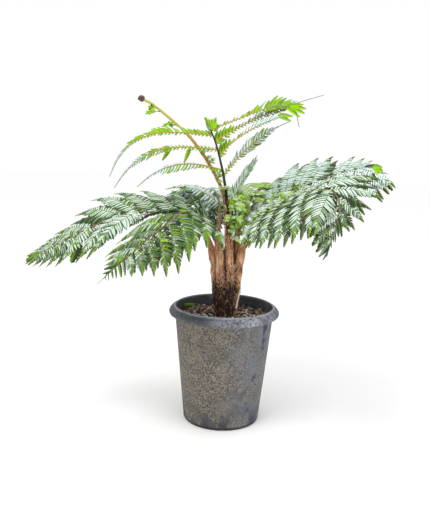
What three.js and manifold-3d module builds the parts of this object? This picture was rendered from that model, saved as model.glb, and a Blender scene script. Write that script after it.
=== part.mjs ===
// A young tree fern in a round nursery pot, in millimetres, with +Z up.
// The origin is the middle of the pot's flat underside, and -Y is the side that the photo shows.
// A fern frond is a bare stalk that carries a blade: a midrib with leaflets down both sides.

import * as THREE from "three";
import { mergeVertices } from "three/addons/utils/BufferGeometryUtils.js";
import Module from "manifold-3d";

const wasm = await Module();
wasm.setup();

// Driving dimensions
const POT_HEIGHT = 320;
const POT_FOOT_RADIUS = 104;
const POT_WALL_SLOPE = 0.1;
const POT_WALL = 2.3;
const POT_FLOOR = 4;
const RIM_RADIUS = 150;
const RIM_TOP_RADIUS = 134;
const RIM_UNDERSIDE = 294;
const DRAIN_NOTCHES = 6;
const SOIL_LEVEL = 292;
const SOIL_AT_WALL = 288;
const TRUNK_FOOT_RADIUS = 31.5;
const TRUNK_TOP_RADIUS = 40;
const TRUNK_TOP = 438;
const TRUNK_FOOT_X = 5;
const TRUNK_TOP_X = 2.5;
const GAP = 0.3;
const LEAF_THICKNESS = 3;
const LEAF_HALF_WIDTH = 23;
const SHORTEST_LEAFLET = 20;
const MIDRIB_RADIUS = 2.6;
const MIDRIB_TIP_RADIUS = 1.3;
const ARM_TILT = 55;
const ROUND_STEPS = 44;
const UP = new THREE.Vector3(0, 0, 1);

// Colours and finishes
const MATERIALS = {
  pot: { color: 0x6b6660, roughness: 0.7, metalness: 0 },
  soil: { color: 0x33241b, roughness: 1, metalness: 0 },
  trunk: { color: 0x6e4226, roughness: 0.95, metalness: 0 },
  stalk: { color: 0x8a5a30, roughness: 0.85, metalness: 0 },
  darkStalk: { color: 0x2e2422, roughness: 0.7, metalness: 0 },
  leaf: { color: 0x7fa486, roughness: 0.75, metalness: 0 },
  youngLeaf: { color: 0x9ac02c, roughness: 0.7, metalness: 0 }
};

// The values that a frond has unless its own row says otherwise.
// A pair gives the left side first, looking out from the trunk, then the right side.
// The face value turns the flat of that side's leaflets towards the viewer.
const USUAL_FROND = {
  turn: 0, roll: [0, 0], bare: 0.25, bend: 0.6, pairs: 12, crowd: 1.5,
  reach: [190, 190], start: [0.85, 0.85], peak: 0.3, taper: [0.9, 0.9], hang: [0.9, 0.9],
  lift: [5, 5], face: [0, 0], sweep: [72, 72], closing: [28, 28], stalkRadius: [9, 8, 6, 4.6, 4.2]
};

// The seven grown fronds, the nearest to the viewer first. Each midrib runs through its own points.
const FRONDS = [
  {
    name: "front_left", azimuth: 228, roll: [26, 12, 0, 0], bare: 0.19, bend: 0.5, pairs: 13,
    reach: [140, 178], start: [0.9, 0.7], peak: 0.8, taper: [1.2, 1.3], hang: [1.6, 1.2], lift: [-38, 14],
    face: [1, 0], sweep: [64, 72], closing: [4, 28],
    path: [[-15, -22, 430], [-21, -30, 476], [-50, -70, 555], [-101, -120, 587], [-143, -165, 566],
      [-206, -224, 515], [-292, -300, 438]]
  },
  {
    name: "front_right", azimuth: -46, turn: -10, roll: [22, 42, 42, 5], bare: 0.25, bend: 0.68, pairs: 13,
    reach: [215, 195], start: [0.8, 0.5], peak: 0.7, taper: [1.5, 0.75], hang: [0.9, 0.8], lift: [-18, 5],
    face: [0, 1], sweep: [72, 106], closing: [28, 66],
    path: [[34, -12, 430], [50, -32, 511], [82, -86, 582], [150, -175, 633], [214, -256, 662],
      [240, -300, 628], [216, -318, 518]]
  },
  {
    name: "left", azimuth: 188, roll: [-28, -26, -20], bare: 0.2, bend: 0.56, pairs: 13,
    reach: [195, 185], start: [0.78, 0.8], peak: 0.6, taper: [0.75, 0.7], hang: [0.95, 0.8],
    sweep: [54, 68], closing: [36, 30],
    path: [[-29, -6, 430], [-51, -10, 507], [-90, -22, 554], [-192, -45, 575], [-290, -64, 562],
      [-450, -95, 479], [-509, -100, 450]]
  },
  {
    name: "right", azimuth: 8, turn: -15, roll: [-20, 0, 26, 28, 15], bare: 0.21, bend: 0.62, pairs: 13,
    stalkRadius: [8.5, 7, 5.4, 4.4, 4],
    reach: [228, 230], start: [0.5, 0.3], peak: 0.45, taper: [0.9, 0.36], hang: [0.7, 1.5],
    sweep: [72, 74], closing: [28, 40],
    path: [[30, 7, 430], [33, 20, 513], [58, 30, 568], [173, 42, 635], [300, 32, 686],
      [370, 14, 703], [401, 0, 691]]
  },
  {
    name: "back_right", azimuth: 52, bare: 0.28, stalkRadius: [7, 6, 5, 4, 3.8],
    path: [[19, 21, 430], [24, 28, 500], [44, 52, 570], [92, 115, 630], [180, 235, 630], [260, 340, 520]]
  },
  {
    name: "back_left", azimuth: 140, bare: 0.28, reach: [150, 190], stalkRadius: [7, 6, 5, 4, 3.8],
    path: [[-19, 16, 430], [-21, 20, 509], [-22, 42, 590], [-47, 100, 627], [-130, 200, 602],
      [-221, 300, 522]]
  },
  {
    name: "back", azimuth: 97, bare: 0.28, stalkRadius: [7, 6, 5, 4, 3.8],
    path: [[3, 25, 430], [4, 32, 500], [0, 70, 565], [-8, 150, 605], [-16, 260, 600], [-30, 420, 465]]
  }
];

// The tall young frond stands upright, with a few long arms of small leaflets and a fan at its tip
const TALL_FROND = {
  name: "tall", bare: 0.62, stalkRadius: [9, 7.5, 4.4, 4.1, 3.8], tipRadius: 2,
  path: [[10, -23, 430], [8, -24, 487], [-1, -30, 583], [-12, -40, 661], [-32, -50, 740], [-50, -56, 787]],
  arms: [
    { height: 669, azimuth: 6, rise: 58, length: 225, hang: 0.63, late: 0.7, halfWidth: 13 },
    { height: 684, azimuth: 203, rise: 15, length: 243, hang: 1.23, late: 1.6, halfWidth: 12 },
    { height: 717, azimuth: -11, rise: 53, length: 197, hang: 0.64, late: 0.6, halfWidth: 14 },
    { height: 736, azimuth: 187, rise: 5, length: 300, hang: 1.85, late: 2.2, halfWidth: 13 },
    { height: 752, azimuth: 7, rise: 36, length: 303, hang: 0.35, late: 0.6, halfWidth: 14 },
    { height: 769, azimuth: 188, rise: 4, length: 310, hang: 2.77, late: 3, halfWidth: 14 },
    { height: 785, azimuth: 3, rise: 23, length: 266, hang: 5.5, late: 7.7, halfWidth: 14 },
    { height: 786, azimuth: 200, rise: 72, length: 24, hang: 0, late: 1, halfWidth: 6.5 },
    { height: 786, azimuth: 15, rise: 74, length: 24, hang: 0, late: 1, halfWidth: 6.5 },
    { height: 785, azimuth: 40, rise: 38, length: 22, hang: 0.2, late: 1, halfWidth: 6 }
  ]
};

// The newest frond is still curled up at its tip, with two leaflets just opening
const CURLED_FROND = {
  name: "curled", bare: 0.74, stalkRadius: [7, 5.5, 4.8, 4.2, 4.2, 4.2, 3.8], tipRadius: 3,
  path: [[2, 1, 430], [-2, 0, 548], [-14, 0, 622], [-43, 0, 684], [-92, 0, 753], [-141, 0, 800],
    [-201, 0, 846], [-224, 0, 858]],
  curl: { x: -232, z: 861, radius: 10, width: 13 },
  arms: [
    { height: 790, azimuth: 200, rise: 12, length: 40, hang: 0.4, late: 1, halfWidth: 6 },
    { height: 826, azimuth: 195, rise: 6, length: 40, hang: 0.3, late: 1, halfWidth: 7 }
  ]
};

// One short frond stands up at the back, narrow enough to be a single blade
const SMALL_FROND = {
  name: "small", bare: 0.5, stalkRadius: [3.4, 3, 2.6], azimuth: 60, roll: [65, 65], halfWidth: 15,
  path: [[13, 8, 430], [11, 14, 500], [12, 40, 584], [33, 70, 642], [76, 100, 711]]
};

// Point and vector helpers
const vec = (x, y, z) => new THREE.Vector3(x, y, z);
const radians = (degrees) => (degrees * Math.PI) / 180;
const mix = (a, b, t) => a + (b - a) * t;

function keyed(values, t) {
  const x = Math.min(Math.max(t, 0), 1) * (values.length - 1);
  const i = Math.min(Math.floor(x), values.length - 2);
  return mix(values[i], values[i + 1], x - i);
}

// A smooth curve through the points, as evenly spaced points
function curveThrough(points, count) {
  const p = points.map((q) => vec(...q));
  p.unshift(p[0].clone().multiplyScalar(2).sub(p[1]));
  p.push(p[p.length - 1].clone().multiplyScalar(2).sub(p[p.length - 2]));
  const last = points.length - 1;
  const fine = [];
  for (let k = 0; k <= 200; k += 1) {
    const x = (k / 200) * last;
    const i = Math.min(Math.floor(x), last - 1);
    const u = x - i;
    const weights = [
      -u + 2 * u * u - u * u * u,
      2 - 5 * u * u + 3 * u * u * u,
      u + 4 * u * u - 3 * u * u * u,
      -u * u + u * u * u
    ];
    const q = vec(0, 0, 0);
    weights.forEach((w, j) => q.addScaledVector(p[i + j], w / 2));
    fine.push(q);
  }
  const run = [0];
  for (let k = 1; k < fine.length; k += 1) run.push(run[k - 1] + fine[k].distanceTo(fine[k - 1]));
  const even = [];
  let k = 0;
  for (let i = 0; i <= count; i += 1) {
    const goal = (run[200] * i) / count;
    while (k < 199 && run[k + 1] < goal) k += 1;
    even.push(fine[k].clone().lerp(fine[k + 1], (goal - run[k]) / (run[k + 1] - run[k])));
  }
  return even;
}

function pointOn(curve, t) {
  const x = t * (curve.length - 1);
  const i = Math.min(Math.floor(x), curve.length - 2);
  return curve[i].clone().lerp(curve[i + 1], x - i);
}

function directionOn(curve, t) {
  const last = curve.length - 1;
  const i = Math.min(Math.floor(t * last), last - 1);
  return curve[Math.min(i + 2, last)].clone().sub(curve[Math.max(i - 1, 0)]).normalize();
}

// Solids: a closed skin over rings of points, ending in a cap or in one point
function solidFrom(positions, faces) {
  return new wasm.Manifold(new wasm.Mesh({
    numProp: 3,
    vertProperties: new Float32Array(positions.flatMap((p) => [p.x, p.y, p.z])),
    triVerts: new Uint32Array(faces.flat())
  }));
}

function skinOver(rings, tip) {
  const positions = rings.flat();
  const n = rings[0].length;
  const faces = [];
  for (let r = 0; r < rings.length - 1; r += 1) {
    for (let j = 0; j < n; j += 1) {
      const a = r * n + j;
      const b = r * n + ((j + 1) % n);
      faces.push([a, b, b + n], [a, b + n, a + n]);
    }
  }
  for (let j = 1; j < n - 1; j += 1) faces.push([0, j + 1, j]);
  const end = (rings.length - 1) * n;
  if (tip) {
    positions.push(tip);
    for (let j = 0; j < n; j += 1) faces.push([end + j, end + ((j + 1) % n), positions.length - 1]);
  } else {
    for (let j = 1; j < n - 1; j += 1) faces.push([end, end + j, end + j + 1]);
  }
  return solidFrom(positions, faces);
}

// A round limb through the points, as thick as radiusAt says
function limb(points, directions, radiusAt, sides) {
  const rings = points.map((p, i) => {
    const along = directions[i];
    const across = vec(0.31, 0.95, 0).cross(along).normalize();
    const other = along.clone().cross(across);
    const r = radiusAt(i / (points.length - 1));
    return Array.from({ length: sides }, (_, j) => {
      const turn = (2 * Math.PI * j) / sides;
      return p.clone().addScaledVector(across, r * Math.cos(turn)).addScaledVector(other, r * Math.sin(turn));
    });
  });
  return skinOver(rings);
}

// A leaflet: a thin blade with a raised rib, along its own midline to a point
function leafletSolid(midline, widthWays, halfWidth) {
  const last = midline.length - 1;
  const rings = midline.slice(0, last).map((p, i) => {
    const u = i / last;
    const along = midline[i + 1].clone().sub(midline[Math.max(i - 1, 0)]).normalize();
    const way = widthWays[i];
    const face = along.clone().cross(way).normalize();
    const half = halfWidth * Math.min(1, 0.3 + u * 4) * Math.min(1, (1 - u) / 0.55) ** 0.8;
    const droop = 0.12 * half;
    return [
      p.clone().addScaledVector(way, -half).addScaledVector(face, -droop),
      p.clone().addScaledVector(face, -LEAF_THICKNESS / 2),
      p.clone().addScaledVector(way, half).addScaledVector(face, -droop),
      p.clone().addScaledVector(face, LEAF_THICKNESS / 2)
    ];
  });
  return skinOver(rings, midline[last]);
}

// How far a leaflet reaches at a place s along the blade, against the longest one
function reachAt(s, start, peak, taper) {
  const rise = start + (1 - start) * Math.sin(Math.min(1, s / peak) * (Math.PI / 2));
  return rise * (1 - Math.max(0, (s - peak * 0.6) / (1 - peak * 0.6))) ** taper;
}

// The frond's own directions at a place t along its midrib
function frameOn(frond, t) {
  const along = directionOn(frond.curve, t);
  const heading = radians(frond.azimuth + frond.turn * t);
  const level = vec(-Math.sin(heading), Math.cos(heading), 0);
  level.addScaledVector(along, -level.dot(along)).normalize();
  const above = along.clone().cross(level);
  const roll = radians(keyed(frond.roll, t));
  return {
    at: pointOn(frond.curve, t),
    along,
    across: level.clone().multiplyScalar(Math.cos(roll)).addScaledVector(above, Math.sin(roll)),
    above: above.multiplyScalar(Math.cos(roll)).addScaledVector(level, -Math.sin(roll))
  };
}

// A midline that sets out along first and hangs more and more under its own weight
function hangingLine(from, first, lean, normal, length, hang, late) {
  const steps = Math.min(6, Math.max(2, Math.round(length / 26)));
  const midline = [from.clone()];
  const widthWays = [];
  for (let k = 0; k < steps; k += 1) {
    const u = (k + 0.5) / steps;
    const way = first.clone().addScaledVector(UP, -hang * u ** late).addScaledVector(lean, u).normalize();
    midline.push(midline[k].clone().addScaledVector(way, length / steps));
    widthWays.push(normal.clone().cross(way).normalize());
  }
  return { midline, widthWays, length };
}

// One leaflet of a grown frond, leaving the midrib at an angle
function leafletLine(frond, place, side, shrink) {
  const pick = side > 0 ? 0 : 1;
  const frame = frameOn(frond, frond.bare + (1 - frond.bare) * place);
  const length = frond.reach[pick] * shrink
    * reachAt(place, frond.start[pick], frond.peak, frond.taper[pick]);
  const sweep = radians(frond.sweep[pick] - frond.closing[pick] * place);
  const lift = radians(frond.lift[pick]);
  const first = frame.along.clone().multiplyScalar(Math.cos(sweep))
    .addScaledVector(frame.across, side * Math.sin(sweep) * Math.cos(lift))
    .addScaledVector(frame.above, Math.sin(sweep) * Math.sin(lift));
  const hang = frond.hang[pick] * (0.4 + (0.6 * length) / frond.reach[pick]);
  const lean = frame.along.clone().multiplyScalar(0.15);
  const normal = frame.above.clone().addScaledVector(vec(0, -1, 0), frond.face[pick]);
  return hangingLine(frame.at, first, lean, normal, length, hang, 1.5);
}

// One arm of a young frond, with its leaflets turned partly towards the viewer
function armLine(curve, arm, shrink) {
  const from = curve.find((p) => p.z >= arm.height) ?? curve[curve.length - 1];
  const heading = radians(arm.azimuth);
  const rise = radians(arm.rise);
  const first = vec(Math.cos(rise) * Math.cos(heading), Math.cos(rise) * Math.sin(heading), Math.sin(rise));
  const level = vec(-Math.sin(heading), Math.cos(heading), 0);
  const normal = first.clone().cross(level).multiplyScalar(Math.cos(radians(ARM_TILT)));
  normal.addScaledVector(vec(0, -1, 0), Math.sin(radians(ARM_TILT)));
  return hangingLine(from, first, vec(0, 0, 0), normal, arm.length * shrink, arm.hang, arm.late);
}

// Everything placed so far, so that each new leaflet keeps clear of it
const placed = [];

function place(node, solid) {
  placed.push({ node, solid, box: solid.boundingBox() });
}

function isClear(solid, node) {
  const box = solid.boundingBox();
  return placed.every((other) => {
    if (other.node === node) return true;
    for (let k = 0; k < 3; k += 1) {
      if (box.min[k] > other.box.max[k] + 1 || box.max[k] < other.box.min[k] - 1) return true;
    }
    return solid.minGap(other.solid, 0.6) > GAP + 0.1;
  });
}

// A leaflet that would touch its neighbours is drawn in, and left out if that isn't enough
function grownLeaflet(node, make) {
  for (const shrink of [1, 0.88, 0.76, 0.64, 0.52, 0.4]) {
    const solid = make(shrink);
    if (isClear(solid, node)) return solid;
  }
  return null;
}

function fused(solids) {
  return solids.reduce((all, next) => all.add(next));
}

function boxSolid(width, depth, height, x, y, z, turn) {
  const box = new THREE.BoxGeometry(width, depth, height);
  box.translate(x, y, z);
  box.rotateZ(turn);
  return fromGeometry(box);
}

function fromGeometry(geometry) {
  geometry.deleteAttribute("normal");
  geometry.deleteAttribute("uv");
  const welded = mergeVertices(geometry, 0.0001);
  return new wasm.Manifold(new wasm.Mesh({
    numProp: 3,
    vertProperties: new Float32Array(welded.attributes.position.array),
    triVerts: new Uint32Array(welded.index.array)
  }));
}

function meshOf(name, solid, material) {
  const data = solid.getMesh();
  const geometry = new THREE.BufferGeometry();
  geometry.setAttribute("position", new THREE.BufferAttribute(new Float32Array(data.vertProperties), 3));
  geometry.setIndex(new THREE.BufferAttribute(new Uint32Array(data.triVerts), 1));
  geometry.computeVertexNormals();
  const mesh = new THREE.Mesh(geometry, new THREE.MeshStandardMaterial(MATERIALS[material]));
  mesh.name = name;
  return mesh;
}

const fern = new THREE.Group();
fern.name = "tree_fern";

// Pot
function potSolid() {
  const wall = (z) => POT_FOOT_RADIUS + POT_WALL_SLOPE * z;
  const inner = (z) => wall(z) - POT_WALL;
  const profile = [
    [0, 0], [POT_FOOT_RADIUS - 4, 0], [POT_FOOT_RADIUS - 1, 1.2], [wall(5), 5],
    [wall(RIM_UNDERSIDE), RIM_UNDERSIDE],
    [RIM_RADIUS - 4, RIM_UNDERSIDE + 1], [RIM_RADIUS - 0.8, RIM_UNDERSIDE + 4],
    [RIM_RADIUS, RIM_UNDERSIDE + 9], [RIM_RADIUS - 2, RIM_UNDERSIDE + 14],
    [RIM_TOP_RADIUS + 3, POT_HEIGHT - 2.5], [RIM_TOP_RADIUS, POT_HEIGHT],
    [RIM_TOP_RADIUS - 2, POT_HEIGHT - 0.6], [inner(300), 300],
    [inner(POT_FLOOR), POT_FLOOR], [0, POT_FLOOR]
  ];
  const lathe = new THREE.LatheGeometry(profile.map(([r, z]) => new THREE.Vector2(r, z)), ROUND_STEPS);
  lathe.rotateX(Math.PI / 2);
  let pot = fromGeometry(lathe);
  for (let i = 0; i < DRAIN_NOTCHES; i += 1) {
    const turn = (2 * Math.PI * (i + 0.5)) / DRAIN_NOTCHES - Math.PI / 2 + 0.6;
    pot = pot.subtract(boxSolid(16, 9, 6, POT_FOOT_RADIUS, 0, 6, turn));
  }
  return pot;
}
const pot = potSolid();
place("pot", pot);
fern.add(meshOf("pot", pot, "pot"));

// Soil, heaped a little round the trunk
function soilSolid() {
  const edge = (z) => POT_FOOT_RADIUS + POT_WALL_SLOPE * z - POT_WALL - GAP;
  const profile = [
    [0, POT_FLOOR + GAP], [edge(POT_FLOOR), POT_FLOOR + GAP],
    [edge(SOIL_AT_WALL), SOIL_AT_WALL], [100, SOIL_AT_WALL + 1.5], [60, SOIL_LEVEL - 0.5],
    [44, SOIL_LEVEL], [0, SOIL_LEVEL]
  ];
  const lathe = new THREE.LatheGeometry(profile.map(([r, z]) => new THREE.Vector2(r, z)), ROUND_STEPS);
  lathe.rotateX(Math.PI / 2);
  return fromGeometry(lathe);
}
const soil = soilSolid();
place("soil", soil);
fern.add(meshOf("soil", soil, "soil"));

// Trunk: narrower at the soil, ribbed towards the top where the stalks leave it
function trunkSolid() {
  const foot = SOIL_LEVEL + GAP;
  const heights = [0, 0.08, 0.22, 0.4, 0.6, 0.8, 1];
  const widths = [TRUNK_FOOT_RADIUS + 1.5, TRUNK_FOOT_RADIUS, TRUNK_FOOT_RADIUS + 1.5,
    TRUNK_TOP_RADIUS - 2, TRUNK_TOP_RADIUS - 0.5, TRUNK_TOP_RADIUS, TRUNK_TOP_RADIUS + 0.5];
  const sides = 32;
  const rings = heights.map((h, i) => Array.from({ length: sides }, (_, j) => {
    const turn = (2 * Math.PI * j) / sides;
    const rib = 1 + 0.045 * h * Math.cos(8 * turn + 0.8) + 0.015 * Math.sin(3 * turn + 4 * h);
    const r = widths[i] * rib;
    const x = mix(TRUNK_FOOT_X, TRUNK_TOP_X, h);
    return vec(x + r * Math.cos(turn), r * Math.sin(turn), mix(foot, TRUNK_TOP, h));
  }));
  return skinOver(rings);
}
const trunk = trunkSolid();
place("trunk", trunk);
fern.add(meshOf("trunk", trunk, "trunk"));

// Stalks and midribs stand first, so that the leaflets can keep clear of all of them
const belowTrunkTop = boxSolid(200, 200, 100, 0, 0, TRUNK_TOP + GAP - 50, 0);

function stemSolid(curve, from, to, radii, steps, sides) {
  const places = Array.from({ length: steps + 1 }, (_, i) => mix(from, to, i / steps));
  const points = places.map((t) => pointOn(curve, t));
  const directions = places.map((t) => directionOn(curve, t));
  return limb(points, directions, (u) => keyed(radii, u), sides);
}

function growStalk(row, material) {
  const curve = curveThrough(row.path, 48);
  const end = row.bare - 0.02;
  const stalk = stemSolid(curve, 0, end, row.stalkRadius, 8, 8).subtract(belowTrunkTop);
  place(`stalk_${row.name}`, stalk);
  fern.add(meshOf(`stalk_${row.name}`, stalk, material));
  const length = curve.slice(1).reduce((sum, p, k) => sum + p.distanceTo(curve[k]), 0);
  return { ...row, curve, end, gap: GAP / length };
}

// A grown frond's midrib is two limbs, parted at the bend
function growMidrib(row) {
  const frond = growStalk({ ...USUAL_FROND, ...row }, "stalk");
  const split = mix(frond.bare, 1, frond.bend);
  const thickness = (t) => mix(MIDRIB_RADIUS, MIDRIB_TIP_RADIUS, (t - frond.bare) / (1 - frond.bare));
  frond.halves = [
    ["inner", frond.end + frond.gap, split],
    ["outer", split + frond.gap, 1]
  ].map(([half, from, to]) => {
    const node = `frond_${frond.name}_${half}`;
    const midrib = stemSolid(frond.curve, from, to, [thickness(from), thickness(to)], 7, 5);
    place(node, midrib);
    return { node, to, solids: [midrib] };
  });
  return frond;
}

function growLeaflets(frond) {
  for (let i = 0; i < frond.pairs; i += 1) {
    const v = (i + 0.4) / (frond.pairs + 0.4);
    const along = 1 - (1 - v) ** frond.crowd;
    for (const side of [1, -1]) {
      const spot = along + (side > 0 ? 0 : 0.012);
      const half = frond.halves.find((part) => mix(frond.bare, 1, spot) < part.to);
      if (leafletLine(frond, spot, side, 1).length < SHORTEST_LEAFLET) continue;
      addLeaflet(half, (shrink) => {
        const line = leafletLine(frond, spot, side, shrink);
        return leafletSolid(line.midline, line.widthWays, Math.min(LEAF_HALF_WIDTH, 1.5 + 0.13 * line.length));
      });
    }
  }
  frond.halves.forEach((half) => fern.add(meshOf(half.node, fused(half.solids), "leaf")));
}

function addLeaflet(part, make) {
  const solid = grownLeaflet(part.node, make);
  if (!solid) return;
  place(part.node, solid);
  part.solids.push(solid);
}

// The young fronds' blades: the stem goes on, and arms leave it at their own heights
function growArms(row, stemMaterial) {
  const frond = growStalk(row, stemMaterial);
  const node = `frond_${frond.name}`;
  const radii = [frond.stalkRadius[frond.stalkRadius.length - 1], frond.tipRadius];
  const stem = stemSolid(frond.curve, frond.end + frond.gap, 1, radii, 8, 6);
  const part = { node, solids: [stem] };
  place(node, stem);
  if (frond.curl) {
    const curl = curlSolid(frond.curl);
    place(node, curl);
    part.solids.push(curl);
  }
  frond.arms.forEach((arm) => addLeaflet(part, (shrink) => {
    const line = armLine(frond.curve, arm, shrink);
    return leafletSolid(line.midline, line.widthWays, arm.halfWidth);
  }));
  fern.add(meshOf(node, fused(part.solids), "youngLeaf"));
}

function curlSolid(curl) {
  const ball = new THREE.SphereGeometry(curl.radius, 16, 10);
  ball.scale(1, curl.width / (2 * curl.radius), 1);
  ball.translate(curl.x, 0, curl.z);
  return fromGeometry(ball);
}

function growSmallFrond(row) {
  const frond = growStalk({ ...USUAL_FROND, ...row }, "stalk");
  const steps = 8;
  const places = Array.from({ length: steps + 1 }, (_, i) => mix(frond.end + frond.gap, 1, i / steps));
  const midline = places.map((t) => pointOn(frond.curve, t));
  const widthWays = places.map((t) => frameOn(frond, t).across);
  const blade = leafletSolid(midline, widthWays, frond.halfWidth);
  place("frond_small", blade);
  fern.add(meshOf("frond_small", blade, "leaf"));
}

growArms(TALL_FROND, "darkStalk");
growArms(CURLED_FROND, "stalk");
growSmallFrond(SMALL_FROND);
FRONDS.map(growMidrib).forEach(growLeaflets);

export default fern;
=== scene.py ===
import math
from functools import cached_property
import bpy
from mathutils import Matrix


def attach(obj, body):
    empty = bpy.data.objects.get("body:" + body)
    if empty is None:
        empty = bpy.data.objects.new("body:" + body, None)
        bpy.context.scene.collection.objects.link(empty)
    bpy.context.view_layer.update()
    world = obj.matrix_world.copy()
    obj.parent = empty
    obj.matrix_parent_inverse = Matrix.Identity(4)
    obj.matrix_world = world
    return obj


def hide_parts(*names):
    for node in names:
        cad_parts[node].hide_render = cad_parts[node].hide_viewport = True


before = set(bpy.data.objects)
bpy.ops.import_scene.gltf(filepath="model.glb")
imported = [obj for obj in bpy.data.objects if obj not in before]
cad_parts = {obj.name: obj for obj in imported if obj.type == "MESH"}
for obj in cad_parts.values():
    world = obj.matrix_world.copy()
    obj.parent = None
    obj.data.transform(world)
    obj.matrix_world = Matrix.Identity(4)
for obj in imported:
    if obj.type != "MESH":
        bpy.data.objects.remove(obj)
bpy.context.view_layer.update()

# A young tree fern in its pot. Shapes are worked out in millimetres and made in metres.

from types import SimpleNamespace as Row

import bpy
import numpy as np
from mathutils import Matrix
from mathutils.bvhtree import BVHTree

MM = 0.001
UP = np.array([0.0, 0.0, 1.0])
FORWARD = np.array([0.0, -1.0, 0.0])
TAU = 2 * math.pi

# Sizes in millimetres, the same as the solids'
POT_HEIGHT = 320
POT_FOOT_RADIUS = 104
POT_WALL_SLOPE = 0.1
POT_WALL = 2.3
POT_FLOOR = 4
RIM_RADIUS = 150
RIM_TOP_RADIUS = 134
RIM_UNDERSIDE = 294
DRAIN_NOTCHES = 6
SOIL_LEVEL = 292
SOIL_AT_WALL = 288
TRUNK_FOOT_RADIUS = 31.5
TRUNK_TOP_RADIUS = 40
TRUNK_TOP = 438
TRUNK_FOOT_X = 5
TRUNK_TOP_X = 2.5
MIDRIB_RADIUS = 2.6
MIDRIB_TIP_RADIUS = 1.3
ARM_TILT = 55
SHORTEST_LEAFLET = 20
SOLID_REACH = 2.4


# Numbers, vectors and curves
def vec(x, y, z):
    return np.array([x, y, z], float)


def unit(v):
    return v / np.maximum(np.linalg.norm(v, axis=-1, keepdims=True), 1e-9)


def mix(a, b, t):
    return a + (b - a) * t


def keyed(values, t):
    """A value from a list that is spread evenly from 0 to 1."""
    return np.interp(t, np.linspace(0, 1, len(values)), values)


def random_for(name):
    return np.random.default_rng(sum(ord(c) * (i + 1) for i, c in enumerate(name)))


def pointing(azimuth, rise=0):
    """The direction of an azimuth and a rise in degrees."""
    a, r = math.radians(azimuth), math.radians(rise)
    return vec(math.cos(r) * math.cos(a), math.cos(r) * math.sin(a), math.sin(r))


def turned_pair(a, b, angle):
    """a turned toward b, and b turned away from a."""
    return a * np.cos(angle) + b * np.sin(angle), b * np.cos(angle) - a * np.sin(angle)


def curve_through(points, count):
    """Evenly spaced points on a smooth curve through the given points."""
    p = np.array(points, float)
    p = np.vstack([2 * p[0] - p[1], p, 2 * p[-1] - p[-2]])
    last = len(points) - 1
    x = np.linspace(0, last, 201)
    i = np.minimum(x.astype(int), last - 1)
    u = (x - i)[:, None]
    fine = 0.5 * (p[i] * (-u + 2 * u**2 - u**3) + p[i + 1] * (2 - 5 * u**2 + 3 * u**3)
                  + p[i + 2] * (u + 4 * u**2 - 3 * u**3) + p[i + 3] * (-u**2 + u**3))
    run = np.r_[0, np.cumsum(np.linalg.norm(np.diff(fine, axis=0), axis=1))]
    even = np.linspace(0, run[-1], count + 1)
    return between(even, run, fine)


def point_on(curve, t):
    """The point at a share of a curve's length, or one for each share."""
    x = np.multiply(t, len(curve) - 1)
    i = np.minimum(x.astype(int), len(curve) - 2)
    return curve[i] + (curve[i + 1] - curve[i]) * (x - i)[..., None]


def direction_on(curve, t):
    last = len(curve) - 1
    i = min(int(t * last), last - 1)
    return unit(curve[min(i + 2, last)] - curve[max(i - 1, 0)])


def point_at_height(row, height):
    return row.smooth[np.argmax(row.smooth[:, 2] >= height)]


def between(x, places, rows):
    """Rows of numbers at new places between the given ones."""
    return np.stack([np.interp(x, places, column) for column in rows.T], -1)


def tangents(line):
    return unit(np.gradient(line, axis=0))


def length_of(line):
    return float(np.linalg.norm(np.diff(line, axis=0), axis=1).sum())


def lattice_noise(x, y, seed):
    """Smooth noise between -1 and 1 over two coordinates."""
    def corner(i, j):
        h = np.sin(i * 127.1 + j * 311.7 + seed * 74.7) * 43758.5453
        return h - np.floor(h)
    i, j = np.floor(x), np.floor(y)
    u, v = x - i, y - j
    u, v = u * u * (3 - 2 * u), v * v * (3 - 2 * v)
    low = corner(i, j) * (1 - u) + corner(i + 1, j) * u
    high = corner(i, j + 1) * (1 - u) + corner(i + 1, j + 1) * u
    return (low * (1 - v) + high * v) * 2 - 1


def round_noise(turn, y, around, seed):
    """The same, where the first coordinate goes round and meets itself."""
    share = turn / TAU
    edge = share * share * (3 - 2 * share)
    return (lattice_noise(share * around, y, seed) * (1 - edge)
            + lattice_noise((share - 1) * around, y, seed) * edge)


# What a frond's row leaves out. bare is the share of its length without leaflets, and bend is where its
# inner solid ends. roll and stalk_radius go from root to tip, and other lists of two are for the frond's two
# sides. foot is the radius of the stalk's old foot on the trunk, and under has the chances of deep, green,
# mint and silver blades in the frond's lower layer, whose darker tones are painted shade.
USUAL_FROND = dict(
    turn=0, roll=[0, 0], bare=0.25, bend=0.6, pairs=12, crowd=1.5, reach=[190, 190], start=[0.85, 0.85],
    peak=0.3, taper=[0.9, 0.9], hang=[0.9, 0.9], lift=[5, 5], face=[0, 0], sweep=[72, 72], closing=[28, 28],
    stalk_radius=[9, 8, 6, 4.6, 4.2], foot=11, tone=0, dusk=0, young=0, fresh=0.1, between=0.92,
    pitch=1, pale=0, under=[0.62, 0.38, 0, 0])

SLIM_STALK = [7, 6, 5, 4, 3.8]


def frond_row(name, path, **changes):
    """A frond with its midline, and a finer one for what is drawn along it."""
    return Row(**{**USUAL_FROND, **changes}, name=name, path=path, curve=curve_through(path, 48),
               smooth=curve_through(path, 150))


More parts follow.
